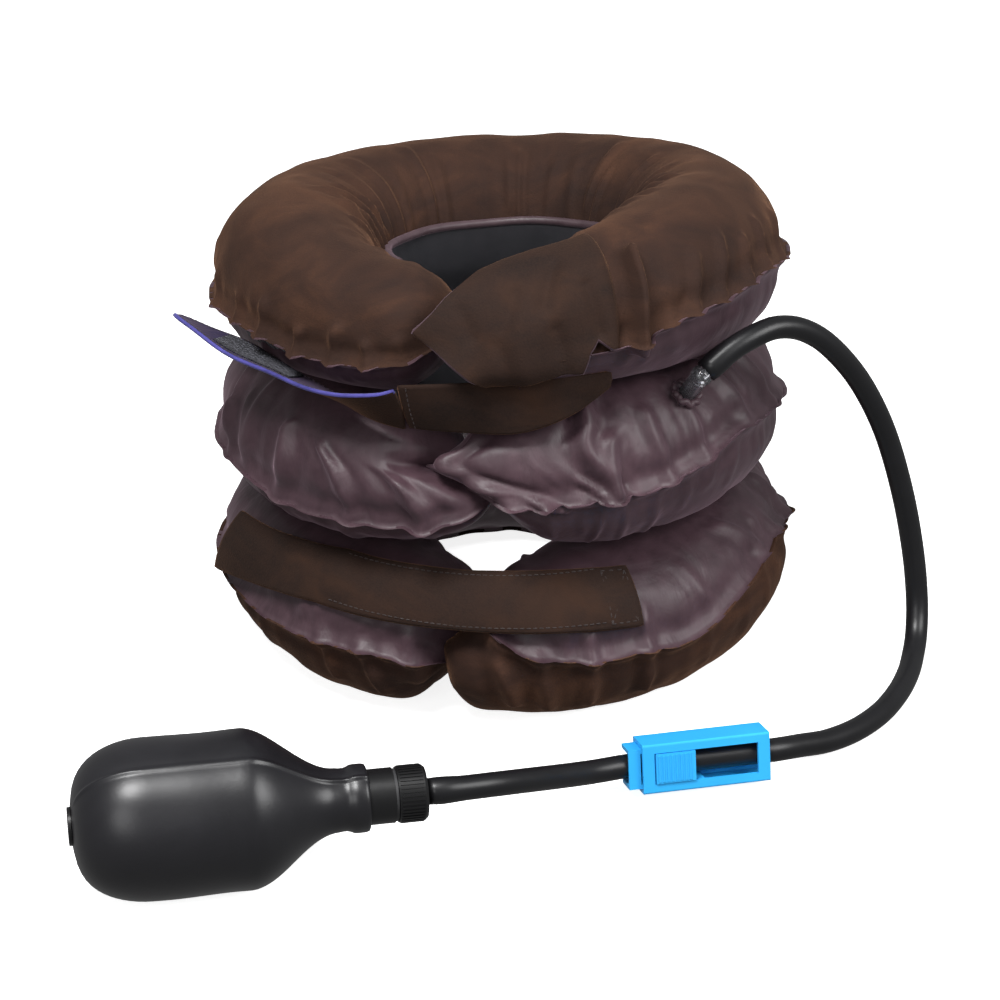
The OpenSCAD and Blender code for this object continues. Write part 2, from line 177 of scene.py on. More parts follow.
def ease(x):
    """Smooth step from 0 to 1."""
    return x * x * (3 - 2 * x)


def vectors(rows):
    return [Vector(p) for p in rows]


def steps(n, m):
    """Steps from 0 to 1: n of them as a column, m as a row."""
    return np.linspace(0, 1, n)[:, None], np.linspace(0, 1, m)[None, :]


def length_of(path):
    return sum((b - a).length for a, b in zip(path, path[1:]))


def resample(curve, n):
    """n evenly spaced points along a polyline given as rows of any number of values."""
    c = np.asarray(curve, float)
    s = np.concatenate([[0], np.cumsum(np.linalg.norm(np.diff(c, axis=0), axis=1))])
    w = np.linspace(0, s[-1], n)
    return np.stack([np.interp(w, s, c[:, i]) for i in range(c.shape[1])], 1)


def swept_tube(name, path, radii, sides, materials):
    """Tube round a path of Vectors, with one radius per point."""
    pts = []
    side = None
    for i, p in enumerate(path):
        ahead = (path[min(i + 1, len(path) - 1)] - path[max(i - 1, 0)]).normalized()
        if side is None:
            side = ahead.cross(Vector((0, 0, 1)) if abs(ahead.z) < 0.9 else Vector((1, 0, 0))).normalized()
        side = (side - ahead * side.dot(ahead)).normalized()
        up = ahead.cross(side)
        for j in range(sides):
            a = 2 * math.pi * j / sides
            pts.append(p + (side * math.cos(a) + up * math.sin(a)) * radii[i])
    last = (len(path) - 1) * sides
    faces = tube_faces(len(path) - 1, sides)
    faces += [tuple(range(sides - 1, -1, -1)), tuple(range(last, last + sides))]
    return add_object(name, pts, faces, materials)


def normals_of(grid, wrap=False):
    """Unit normals of a grid of points; wrap when its second direction closes on itself."""
    du = np.gradient(grid, axis=0)
    if wrap:
        dv = (np.roll(grid, -1, 1) - np.roll(grid, 1, 1)) / 2
    else:
        dv = np.gradient(grid, axis=1)
    n = np.cross(du, dv)
    size = np.linalg.norm(n, axis=2, keepdims=True)
    return n / np.maximum(size, 1e-9)


def thick_sheet(name, grid, thick, materials, flip=False):
    """Closed sheet of cloth round a grid of middle points. Materials: outer face, inner face, edge."""
    grid = np.asarray(grid, float)
    n, m = grid.shape[:2]
    nor = normals_of(grid) * (-1 if flip else 1)
    outer = grid + nor * thick / 2
    inner = grid - nor * thick / 2
    pts = [outer.reshape(-1, 3), inner.reshape(-1, 3)]
    at = lambda i, j, s: s * n * m + i * m + j
    faces, mats = [], []
    for i in range(n - 1):
        for j in range(m - 1):
            q = (at(i, j, 0), at(i + 1, j, 0), at(i + 1, j + 1, 0), at(i, j + 1, 0))
            r = (at(i, j, 1), at(i, j + 1, 1), at(i + 1, j + 1, 1), at(i + 1, j, 1))
            faces += [q[::-1], r[::-1]] if flip else [q, r]
            mats += [0, 1]
    loop = [(i, 0) for i in range(n)] + [(n - 1, j) for j in range(1, m)]
    loop += [(i, m - 1) for i in range(n - 2, -1, -1)] + [(0, j) for j in range(m - 2, 0, -1)]
    base = 2 * n * m
    rim = []
    for i, j in loop:
        inside = grid[min(max(i, 1), n - 2), min(max(j, 1), m - 2)]
        out = grid[i, j] - inside
        out /= max(np.linalg.norm(out), 1e-9)
        rim.append(grid[i, j] + out * thick * 0.5)
    pts.append(np.array(rim))
    k = len(loop)
    for a in range(k):
        b = (a + 1) % k
        for s in (0, 1):
            q = (at(*loop[a], s), at(*loop[b], s), base + b, base + a)
            if (s == 0) == flip:
                q = q[::-1]
            faces.append(q)
            mats.append(2)
    obj = add_object(name, np.concatenate(pts), faces, materials, mats)
    return face_outwards(obj)


def lathe(name, profile, origin, axis, sides, materials, change):
    """Turned hollow shell: profile is a closed loop of (distance along axis, radius)."""
    axis = Vector(axis).normalized()
    side = axis.cross(Vector((0, 0, 1))).normalized()
    up = side.cross(axis)
    pts = []
    for x, r in profile:
        for j in range(sides):
            a = 2 * math.pi * j / sides  # 0 is straight up
            rr, xx = change(x, r, a)
            pts.append(Vector(origin) + axis * xx + (up * math.cos(a) + side * math.sin(a)) * rr)
    faces = [tuple(p % len(pts) for p in face) for face in tube_faces(len(profile), sides)]
    return face_outwards(add_object(name, pts, faces, materials))


def stitches(name, path, pitch, long, radius, materials):
    """Row of small thread dashes along a path of Vectors."""
    fine = resample(path, max(8, int(length_of(path) / pitch) * 4))
    pts, faces = [], []
    for i in range(1, len(fine) - 2, 4):
        a, b = Vector(fine[i]), Vector(fine[i + 1])
        ahead = (b - a).normalized()
        side = ahead.cross(Vector((0.3, 0.2, 1))).normalized()
        up = side.cross(ahead)
        base = len(pts)
        for s, r in ((-0.5, 0.25), (-0.35, 0.9), (0.0, 1.0), (0.35, 0.9), (0.5, 0.25)):
            for j in range(6):
                q = 2 * math.pi * j / 6
                pts.append(a + ahead * s * long + (side * math.cos(q) + up * math.sin(q)) * r * radius)
        faces += tube_faces(4, 6, base)
        faces += [tuple(range(base + 5, base - 1, -1)), tuple(range(base + 24, base + 30))]
    return add_object(name, pts, faces, materials)


def ring_points(a, r, z):
    """Points round the collar's axis from arrays of angle in radians, counted from the front, radius and height."""
    return np.stack([r * np.sin(a), -r * np.cos(a), z], -1)


def place(matrix, grid):
    """Moves a grid of points in mm by a 4x4 matrix."""
    m = np.array(matrix)
    return grid @ m[:3, :3].T + m[:3, 3]


# ---------------------------------------------------------------- materials

def material(name):
    m = bpy.data.materials.new(name)
    m.use_nodes = True
    nodes = m.node_tree.nodes
    nodes.clear()
    out = nodes.new("ShaderNodeOutputMaterial")
    b = nodes.new("ShaderNodeBsdfPrincipled")
    m.node_tree.links.new(b.outputs["BSDF"], out.inputs["Surface"])
    return m, Net(m, b)


class Net:
    """Short way to write a material's nodes."""

    def __init__(self, m, b):
        self.b, self.t = b, m.node_tree
        self.coord = self.t.nodes.new("ShaderNodeTexCoord").outputs["Object"]

    def node(self, kind, **values):
        n = self.t.nodes.new("ShaderNode" + kind)
        for key, value in values.items():
            if key in n.inputs.keys():
                n.inputs[key].default_value = value
            else:
                setattr(n, key, value)
        return n

    def link(self, a, b):
        self.t.links.new(a, b)

    def scaled(self, s):
        n = self.node("Mapping")
        n.inputs["Scale"].default_value = s
        self.link(self.coord, n.inputs["Vector"])
        return n.outputs["Vector"]

    def texture(self, kind, output, vector=None, **values):
        n = self.node("Tex" + kind, **values)
        self.link(vector or self.coord, n.inputs["Vector"])
        return n.outputs[output]

    def noise(self, scale, detail=3.0, rough=0.5, vector=None, distortion=0.0):
        return self.texture("Noise", "Fac", vector, Scale=scale, Detail=detail, Roughness=rough, Distortion=distortion)

    def voronoi(self, scale):
        return self.texture("Voronoi", "Distance", Scale=scale)

    def wave(self, scale, direction, distortion):
        return self.texture("Wave", "Fac", Scale=scale, Distortion=distortion, bands_direction=direction)

    def ramp(self, fac, *stops):
        n = self.node("ValToRGB")
        while len(n.color_ramp.elements) < len(stops):
            n.color_ramp.elements.new(0.5)
        for e, (at, colour) in zip(n.color_ramp.elements, stops):
            e.position = at
            e.color = (*colour, 1.0)
        self.link(fac, n.inputs["Fac"])
        return n.outputs["Color"]

    def spread(self, fac, low, high, a=0.0, b=1.0):
        n = self.node("MapRange")
        for key, value in (("From Min", a), ("From Max", b), ("To Min", low), ("To Max", high)):
            n.inputs[key].default_value = value
        self.link(fac, n.inputs["Value"])
        return n.outputs["Result"]

    def math(self, op, a, b):
        n = self.node("Math", operation=op)
        for i, v in enumerate((a, b)):
            if isinstance(v, (int, float)):
                n.inputs[i].default_value = v
            else:
                self.link(v, n.inputs[i])
        return n.outputs["Value"]

    def mix(self, fac, a, b):
        n = self.node("Mix", data_type="RGBA")
        for key, v in ((0, fac), (6, a), (7, b)):
            if isinstance(v, (int, float)):
                n.inputs[key].default_value = v
            elif isinstance(v, tuple):
                n.inputs[key].default_value = (*v, 1.0)
            else:
                self.link(v, n.inputs[key])
        return n.outputs[2]

    def bump(self, height, strength, distance, after=None):
        n = self.node("Bump", Strength=strength, Distance=distance)
        self.link(height, n.inputs["Height"])
        if after is not None:
            self.link(after, n.inputs["Normal"])
        return n.outputs["Normal"]

    def put(self, **sockets):
        for key, value in sockets.items():
            socket = self.b.inputs[key.replace("_", " ")]
            if isinstance(value, (int, float)):
                socket.default_value = value
            elif isinstance(value, tuple):
                socket.default_value = (*value, 1.0) if len(value) == 3 else value
            else:
                self.link(value, socket)


def make_velour(name="brown_velour", shade=1.0):
    m, n = material(name)
    pile = n.noise(1400, 2.0, 0.6)
    brushed = n.noise(34, 4.0, 0.6, n.scaled((1.0, 1.0, 1.7)), 0.6)
    patch = n.noise(9, 2.0, 0.5)
    nap = n.math("ADD", n.math("MULTIPLY", brushed, 0.6), n.math("MULTIPLY", patch, 0.4))
    tones = [(0.36, (0.018, 0.0078, 0.0058)), (0.5, (0.036, 0.0155, 0.0098)), (0.64, (0.066, 0.0285, 0.0158))]
    colour = n.ramp(nap, *((at, tuple(c * shade for c in tone)) for at, tone in tones))
    speck = n.mix(n.spread(pile, 0.0, 0.5, 0.35, 0.75), colour, (0.030, 0.015, 0.009))
    n.put(Base_Color=speck, Roughness=n.spread(brushed, 0.78, 0.95), Specular_IOR_Level=0.25,
          Sheen_Weight=0.26, Sheen_Roughness=0.34, Sheen_Tint=(0.62, 0.31, 0.17),
          Normal=n.bump(pile, 0.40, 0.0006, n.bump(brushed, 0.18, 0.0012)))
    return m


def make_satin(name, dark, light, rough=0.43):
    m, n = material(name)
    crinkle = n.noise(62, 5.0, 0.55, n.scaled((1.0, 1.0, 0.55)), 1.1)
    fine = n.noise(210, 3.0, 0.6, None, 0.4)
    sharp = n.math("ABSOLUTE", n.math("SUBTRACT", n.noise(40, 4.0, 0.55, n.scaled((1.0, 1.0, 0.45)), 1.2), 0.5), 0.0)
    thread = n.wave(900, "DIAGONAL", 0.6)
    colour = n.ramp(n.math("ADD", n.math("MULTIPLY", crinkle, 0.7), n.math("MULTIPLY", fine, 0.3)),
                    (0.3, dark), (0.72, light))
    n.put(Base_Color=colour, Roughness=n.spread(fine, rough - 0.05, rough + 0.14), Specular_IOR_Level=0.42,
          Sheen_Weight=0.22, Sheen_Roughness=0.4, Sheen_Tint=(0.84, 0.58, 0.70), Anisotropic=0.3,
          Normal=n.bump(thread, 0.05, 0.0002, n.bump(sharp, 0.42, 0.0016, n.bump(crinkle, 0.26, 0.0016))))
    return m


def make_cloth(name, dark, light, weave=1100.0, rough=0.8, sheen=0.25):
    """Plain woven cloth."""
    m, n = material(name)
    across = n.wave(weave, "X", 0.2)
    along = n.wave(weave, "Z", 0.2)
    threads = n.math("MAXIMUM", across, along)
    tone = n.noise(70, 4.0, 0.6)
    n.put(Base_Color=n.ramp(tone, (0.3, dark), (0.7, light)), Roughness=n.spread(tone, rough - 0.06, rough + 0.08),
          Sheen_Weight=sheen, Sheen_Roughness=0.5, Sheen_Tint=(0.7, 0.7, 0.8), Specular_IOR_Level=0.3,
          Normal=n.bump(threads, 0.3, 0.0003, n.bump(tone, 0.2, 0.0010)))
    return m


def make_tape(name, dark, light, scale, height):
    """Hook or loop tape: rows of tiny knots."""
    m, n = material(name)
    knots = n.voronoi(scale)
    fuzz = n.noise(900, 3.0, 0.7)
    n.put(Base_Color=n.ramp(knots, (0.05, light), (0.55, dark)), Roughness=n.spread(fuzz, 0.6, 0.9),
          Sheen_Weight=0.2, Sheen_Roughness=0.5, Sheen_Tint=(0.6, 0.6, 0.7),
          Normal=n.bump(knots, 0.8, height, n.bump(fuzz, 0.3, 0.0004)))
    return m


def make_rubber(name, tone, rough, grain=420.0, bump=0.12, wear=0.5, coat=0.0):
    m, n = material(name)
    skin = n.noise(grain, 4.0, 0.6)
    smear = n.noise(16, 4.0, 0.55, None, 0.8)
    light = tuple(c * (1 + wear) + 0.0015 for c in tone)
    n.put(Base_Color=n.ramp(smear, (0.32, tone), (0.75, light)), Roughness=n.spread(smear, rough - 0.07, rough + 0.09),
          Specular_IOR_Level=0.45, Coat_Weight=coat, Coat_Roughness=0.3,
          Normal=n.bump(skin, bump, 0.0003, n.bump(smear, 0.10, 0.0020)))
    return m


def make_clear():
    m, n = material("clear_vinyl")
    cloud = n.noise(120, 3.0, 0.5)
    n.put(Base_Color=n.ramp(cloud, (0.3, (0.42, 0.42, 0.45)), (0.7, (0.60, 0.61, 0.64))),
          Roughness=n.spread(cloud, 0.06, 0.16), IOR=1.5, Transmission_Weight=0.94, Specular_IOR_Level=0.6,
          Normal=n.bump(cloud, 0.15, 0.0008))
    return m


VELOUR = make_velour()
STRAP_VELOUR = make_velour("strap_velour", 0.50)
SHADED_VELOUR = make_velour("velour_painted_shade", 0.58)  # painted shade: a darker copy of the same velour; the flap's pile lies the other way and catches less light
# painted light: a lighter copy of the same velour for the bottom cover's lower panel, brightening the shade it sits in
# low down
LIT_BASE_VELOUR = make_velour("velour_painted_light", 1.3)
SATIN = make_satin("purple_brown_satin", (0.038, 0.0195, 0.0255), (0.082, 0.0455, 0.057))
BINDING = make_satin("satin_binding", (0.050, 0.030, 0.036), (0.090, 0.060, 0.068), 0.42)
# cloth of the joining webs: the webs are real, their near-black colour is painted shade for the deep shadow inside the
# hole
SHADE_LINING = make_cloth("black_lining_painted_shade", (0.006, 0.006, 0.008), (0.016, 0.015, 0.018))
NAVY = make_satin("navy_strap_lining", (0.010, 0.010, 0.034), (0.022, 0.022, 0.070), 0.45)
EDGE_BLUE = make_cloth("blue_edge", (0.016, 0.014, 0.120), (0.085, 0.075, 0.360), 1300.0, 0.5, 0.3)
HOOK = make_tape("hook_tape", (0.004, 0.004, 0.006), (0.030, 0.030, 0.038), 900.0, 0.0012)
LOOP = make_tape("loop_tape", (0.010, 0.007, 0.006), (0.040, 0.028, 0.022), 520.0, 0.0010)
THREAD = make_cloth("thread", (0.020, 0.012, 0.010), (0.045, 0.030, 0.024), 1600.0, 0.6, 0.3)
HOSE = make_rubber("hose_rubber", (0.005, 0.005, 0.006), 0.36, 520.0, 0.08)
BULB = make_rubber("bulb_rubber", (0.0070, 0.0068, 0.0085), 0.36, 380.0, 0.14, 0.9, 0.2)
PLASTIC = make_rubber("black_plastic", (0.005, 0.005, 0.0055), 0.35, 300.0, 0.10)
VALVE = make_rubber("valve_rubber", (0.030, 0.030, 0.032), 0.55, 500.0, 0.2)
GREY = make_rubber("grey_plastic", (0.20, 0.20, 0.21), 0.40, 300.0, 0.12, 0.2)
BLUE = make_rubber("blue_plastic", (0.030, 0.41, 0.87), 0.33, 260.0, 0.10, 0.16)
CLEAR = make_clear()


# ---------------------------------------------------------------- hose

def hose_points():
    turn, lean = math.radians(CLAMP_TURN), math.radians(CLAMP_LEAN)
    along = Vector((math.cos(turn), math.sin(turn), 0))
    out = Vector((math.sin(turn) * math.cos(lean), -math.cos(turn) * math.cos(lean), math.sin(lean)))
    clamp = lambda a, o: CLAMP_AT + along * a + out * o
    bulb_axis = Vector((math.cos(math.radians(BULB_TURN)), math.sin(math.radians(BULB_TURN)), 0))
    stop = BULB_RIM + bulb_axis * 21.6
    points = [KNEE + LEAVES * 2, KNEE + LEAVES * 15]
    points += vectors((
        (94.5, -74.5, 151.8), (103, -69.5, 152.8), (113, -64, 149.5), (124, -58, 140.5), (137, -50.5, 123),
        (148.5, -44.5, 99.5), (157.5, -40, 71), (163.5, -37.5, 43.5), (166, -39, 23), (165.5, -46, 11),
        (163, -57, 6), (159.5, -70, 4.7), (153.5, -86, 4.6), (145, -102, 4.6), (134, -116, 5),
        (122, -127, 6.3), (111, -135, 8.8)))
    points += [clamp(a, 0) for a in (28, 14, 0, -14)] + [clamp(-28, -0.75)]
    points += vectors(((31.8, -160.4, 11.9), (19.7, -171.3, 16.3), (7.5, -183.6, 21.7), (-5, -194.4, 26.2)))
    points += [stop + bulb_axis * 9 - Vector((0, 0, 0.1)), stop]
    return points


def make_hose():
    path = spline(hose_points(), 3.0)
    total = length_of(path)
    radii, gone = [], 0.0
    for i, p in enumerate(path):
        if i:
            gone += (p - path[i - 1]).length
        # it is stretched over a barb at each end
        over = max(math.exp(-((gone - 5) / 4.5) ** 2), math.exp(-((total - gone - 5) / 5.5) ** 2))
        radii.append(HOSE_D / 2 + 0.45 * over)
    hose = swept_tube("hose_tube", path, radii, 32, [HOSE])
    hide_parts("hose")
    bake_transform(hose)


make_hose()


# ---------------------------------------------------------------- air tubes

# For each tube: the gap between its ends, the taper's length and depth, how far its tip moves out and down, and how
# much of its length the round end takes
SHAPES = [dict(zip(("gap", "taper", "thin", "out", "drop", "dome", "seed"), row)) for row in (
    (1.0, 45.0, 0.17, 0.60, 0.40, 15.0, 3),
    (0.8, 60.0, 0.22, 0.80, 0.15, 26.0, 11),
    (1.2, 105.0, 0.31, 1.00, 0.90, 22.0, 23))]
MEET = -14.0  # ring angle where the tubes' ends meet
GROW = 10.0  # the cloth solver works on a collar ten times the size, in metres
ROWS, COLS = 460, 144  # the covers' grids: along the ring, round the section
SIM_ROWS, SIM_COLS = 200, 48
INNER_SEAM = [240.0, 180.0, 212.0]  # section angle
SOFT_FOLDS = 34  # in each tube, on the hole's side

# Outer seam: section angle against ring angle, where the two cloths of a cover are sewn together
SEAMS = [
    ((-194, -5), (-120, -4), (-54, -2), (-41, -1), (-23, 3), (-17, -6), (-14.2, -24), (-13.8, 48), (-9, 40), (-3, 22),
     (5, 6), (18, 0), (27, 3), (35, -2), (42, 4), (54, 17), (72, 28), (88, 17), (110, 4), (166, -5)),
    ((-194, -10), (-90, -8), (-61, -15), (-51, -25), (-36, -29), (-26, -33), (-14.2, -30), (-13.8, 6), (-4, -12),
     (16, -10), (28, -10), (39, -2), (52, 10), (75, 8), (110, -6), (166, -10)),
    ((-194, -14), (-100, -12), (-74, -12), (-51, -16), (-43, -22), (-32, -23), (-14, -20), (22, -17), (27, -13),
     (34, -7), (48, -5), (62, 3), (90, -4), (130, -12), (166, -14)),
]

# Where the ends meet leans: ring angle added to meet, against section angle
SLANTS = [
    ((-90, -2), (-20, 0), (15, 0), (50, 5), (90, 8), (180, 9), (230, 5), (270, -2)),
    ((-90, 12), (-50, 12), (-20, 11), (-5, 7), (8, 3), (26, -5), (42, -1), (90, 3), (180, 5), (230, 9), (270, 12)),
    ((-90, 0), (0, 0), (60, 3), (180, 4), (270, 0)),
]
SLANT_L = 75.0  # mm of tube over which the lean fades


def between(knots, x):
    """Value at x on the line through knots of (x, value)."""
    return np.interp(x, *zip(*knots))


def slant(k, phi, d):
    lap = (np.asarray(phi, float) + 90) % 360 - 90
    x = np.clip(1 - d / SLANT_L, 0, 1)
    return between(SLANTS[k], lap) * x * x * (3 - 2 * x)


def seam_angle(k, t):
    return between(SEAMS[k], t)


def section(k, t):
    """Radius of tube k's section at ring angle t, and the ring radius and height of its centre."""
    s = SHAPES[k]
    away = np.abs((np.asarray(t, float) - MEET + 180) % 360 - 180)
    d = np.radians(away) * RING_R
    x = np.clip(d / s["taper"], 0, 1)
    slow = 1 - ease(x)
    rad = TUBE_R * (1 - s["thin"] * slow)
    return rad, RING_R + (TUBE_R - rad) * s["out"], -(TUBE_R - rad) * s["drop"], d


def tube_grid(k, rows, cols):
    """Angles t and phi and start shape of tube k's cover in its own plane: one row per step round the ring."""
    s = SHAPES[k]
    u = np.linspace(0, 1, rows + 1)[:, None]
    j = np.arange(cols)[None, :]
    t = MEET + s["gap"] / 2 + (360 - s["gap"]) * u
    ring = (t + 194) % 360 - 194
    low = seam_angle(k, ring)
    half = cols // 2
    inner = INNER_SEAM[k]
    phi = np.where(j <= half, low + (inner - low) * j / half, inner + (low + 360 - inner) * (j - half) / half)
    rad, centre_r, centre_z, d = section(k, t + 0 * phi)
    x = np.clip((d + 0.4) / s["dome"], 0, 1)
    tall = np.sqrt(np.maximum(0, 1 - (1 - x) ** 2.2))
    x = np.clip((d + 0.4) / (s["dome"] * 0.62), 0, 1)
    wide = np.sqrt(np.maximum(0, 1 - (1 - x) ** 2.4))
    a, q = np.radians(t + slant(k, phi, d)), np.radians(phi)
    rr = centre_r + rad * wide * np.cos(q)
    z = centre_z + rad * tall * np.sin(q)
    return ring + 0 * phi, phi, ring_points(a, rr, z)


def closed_tube(grid):
    """Points and faces of a tube of rings, with a point in the middle of each end."""
    rows, cols = grid.shape[0] - 1, grid.shape[1]
    faces = [f[:1] + f[:0:-1] for f in tube_faces(rows, cols)]
    end = (rows + 1) * cols
    for j in range(cols):
        n = (j + 1) % cols
        faces += [(end, j, n), (end + 1, rows * cols + n, rows * cols + j)]
    return np.concatenate([grid.reshape(-1, 3), [grid[0].mean(0), grid[-1].mean(0)]]), faces


def inflate(k, frames=20, pressure=3.0):
    """Blows tube k's cover up with the cloth solver and returns its grid of points in mm."""
    rows, cols = SIM_ROWS, SIM_COLS
    _, phi, start = tube_grid(k, rows, cols)
    nor = -normals_of(start, True)
    seed = Vector((SHAPES[k]["seed"], 0, 0))
    wobble = np.array([[noise.noise(Vector(p) / 9.0 + seed) for p in row] for row in start])
    start = start + nor * wobble[..., None] * 0.9
    points, faces = closed_tube(start)
    mesh = bpy.data.meshes.new("cloth")
    mesh.from_pydata((points * GROW * MM).tolist(), [], faces)
    obj = bpy.data.objects.new("cloth", mesh)
    bpy.context.scene.collection.objects.link(obj)
    pins = obj.vertex_groups.new(name="pins")
    pins.add([i * cols + cols // 2 for i in range(rows + 1)], 1.0, "REPLACE")
    pins.add([i * cols for i in range(rows + 1)], 0.35, "REPLACE")
    slack = obj.vertex_groups.new(name="slack")
    for i in range(rows + 1):
        for j in range(cols):
            slack.add([i * cols + j], float(0.5 + 0.5 * math.cos(math.radians(phi[i, j]))), "REPLACE")
    cloth = obj.modifiers.new("cloth", "CLOTH")
    for key, value in dict(
            quality=5, mass=0.02, tension_stiffness=60, compression_stiffness=60, shear_stiffness=12,
            bending_stiffness=0.05, tension_damping=8, compression_damping=8, shear_damping=8, air_damping=1,
            use_pressure=True, uniform_pressure_force=pressure, vertex_group_shrink="slack", shrink_min=0.0,
            shrink_max=-0.06, vertex_group_mass="pins", pin_stiffness=1.0).items():
        setattr(cloth.settings, key, value)
    cloth.settings.effector_weights.gravity = 0.0
    cloth.collision_settings.use_collision = False
    cloth.collision_settings.use_self_collision = False
    cloth.point_cache.frame_start = 1
    cloth.point_cache.frame_end = frames + 1
    for f in range(1, frames + 1):
        bpy.context.scene.frame_set(f)
    got = obj.evaluated_get(bpy.context.evaluated_depsgraph_get()).to_mesh()
    co = np.empty(len(got.vertices) * 3)
    got.vertices.foreach_get("co", co)
    bpy.data.objects.remove(obj)
    bpy.data.meshes.remove(mesh)
    bpy.context.scene.frame_set(1)
    grown = (co.reshape(-1, 3) / (GROW * MM))[: (rows + 1) * cols].reshape(rows + 1, cols, 3)
    move = grown - start
    size = np.linalg.norm(move, axis=2, keepdims=True)
    grown = start + move * np.minimum(1, MOST_MOVE / np.maximum(size, 1e-9))
    for _ in range(3):  # irons out the zigzag of the solver's coarse grid along the ring
        grown[1:-1] = (grown[:-2] + 2 * grown[1:-1] + grown[2:]) / 4
    return grown


def finer(grid, rows, cols):
    """Catmull-Rom refinement of a grid that closes on itself in its second direction."""
    def along(values, at, closed):
        n = len(values)
        i = np.floor(at).astype(int)
        f = (at - i)[:, None, None]
        pick = (lambda m: values[m % n]) if closed else (lambda m: values[np.clip(m, 0, n - 1)])
        a, b, c, d = pick(i - 1), pick(i), pick(i + 1), pick(i + 2)
        return 0.5 * (2 * b + (c - a) * f + (2 * a - 5 * b + 4 * c - d) * f ** 2 + (3 * b - a - 3 * c + d) * f ** 3)
    n, m = grid.shape[:2]
    grid = along(grid, np.linspace(0, n - 1, rows + 1), False)
    return along(grid.transpose(1, 0, 2), np.arange(cols) * m / cols, True).transpose(1, 0, 2)


def noise_field(points, scale, seed):
    """Smooth noise at a grid of points."""
    shift = Vector((seed * 3.7, seed * 1.3, seed * 7.1))
    flat = points.reshape(-1, 3) / scale
    return np.array([noise.noise(Vector(p) + shift) for p in flat]).reshape(points.shape[:2])


def crease(s, v, at, to, width, depth, rim=0.35):
    """A fold's hollow with two raised lips along the line from at to to, on a cover laid flat (mm along, mm round)."""
    ax, ay = at
    bx, by = to[0] - ax, to[1] - ay
    long = math.hypot(bx, by) + 1e-6
    w = ((s - ax) * bx + (v - ay) * by) / long ** 2
    off = ((s - ax) * by - (v - ay) * bx) / long
    end = ease(np.clip(np.minimum(w, 1 - w) * long / (2.5 * width) + 0.6, 0, 1))
    x = off / width
    return depth * end * (-np.exp(-x * x) + rim * (np.exp(-((abs(x) - 1.9) ** 2) / 0.9)))


# Folds listed for each cover: ring angle and section angle of both ends, half width and depth in mm
FOLDS = [
    [(-13.0, 40, -11.0, -40, 3.2, 2.5), (-20, 24, -17, -34, 2.6, 3.0), (-29, 6, -25, -40, 2.6, 2.2),
     (-38, 8, -36, -34, 2.4, 1.8), (-4, 30, 2, -36, 3.0, 3.0), (6, 10, 9, -44, 2.8, 2.6), (16, 20, 17, -40, 2.4, 2.4),
     (27, 24, 29, -34, 2.2, 2.2), (58, 62, 66, 30, 3.2, 1.8), (40, 50, 43, 22, 2.4, 1.2), (88, 60, 92, 12, 4.0, 2.4),
     (74, 40, 80, 10, 3.0, 1.8)],
    [(-17, 34, -4, -14, 3.0, 3.6), (-13, 62, -6, 2, 3.0, 2.6), (-9, 10, 4, -18, 2.4, 3.0),
     (-4, 60, -10, 18, 3.4, 2.4), (17, 58, 18, -8, 3.6, 4.6), (22, 30, 19, -8, 2.6, 3.2), (12, 4, 17, -12, 2.0, 2.4),
     (-24, 10, -27, -40, 3.0, 3.2), (-36, 24, -38, -28, 2.6, 2.4), (-46, 30, -52, -22, 3.2, 2.8),
     (-58, 60, -62, -8, 3.6, 2.2), (30, 44, 33, -8, 2.6, 1.8), (40, 62, 42, 2, 2.6, 2.0), (52, 70, 58, 14, 3.4, 2.4),
     (66, 72, 72, 8, 3.4, 2.0), (-74, 66, -70, -10, 3.0, 1.8)],
    [(25.8, 50, 25.2, -24, 2.5, 10.0), (-20, 6, -19, -22, 2.4, 2.0), (-27, -2, -26, -24, 2.0, 2.6),
     (-33, 8, -34, -24, 2.2, 2.2), (-42, -2, -43, -24, 1.8, 3.0), (-52, 12, -53, -18, 2.2, 2.2),
     (-62, 4, -62, -14, 2.0, 2.0), (-74, 8, -73, -14, 2.4, 1.8), (33, 22, 32, -12, 2.2, 1.6),
     (41, 30, 38, -8, 2.6, 2.6), (50, 36, 46, -6, 2.2, 2.0), (57, 28, 55, -2, 2.0, 2.4), (66, 34, 63, 2, 2.2, 2.0),
     (78, 30, 74, 0, 2.4, 1.8), (62, 128, 74, 178, 2.6, 2.2), (72, 120, 84, 186, 3.0, 2.4),
     (80, 112, 94, 176, 2.4, 2.0), (90, 122, 104, 190, 3.0, 2.2), (-82, 112, -96, 182, 3.0, 2.4),
     (-74, 120, -86, 178, 2.6, 2.2), (-92, 118, -108, 186, 2.4, 1.8), (-66, 130, -74, 176, 2.2, 1.6)],
]
PUCKERS = [(52, 22.0, 1.6), (46, 26.0, 1.9), (56, 18.0, 1.2)]  # number along the seam, reach and depth in mm


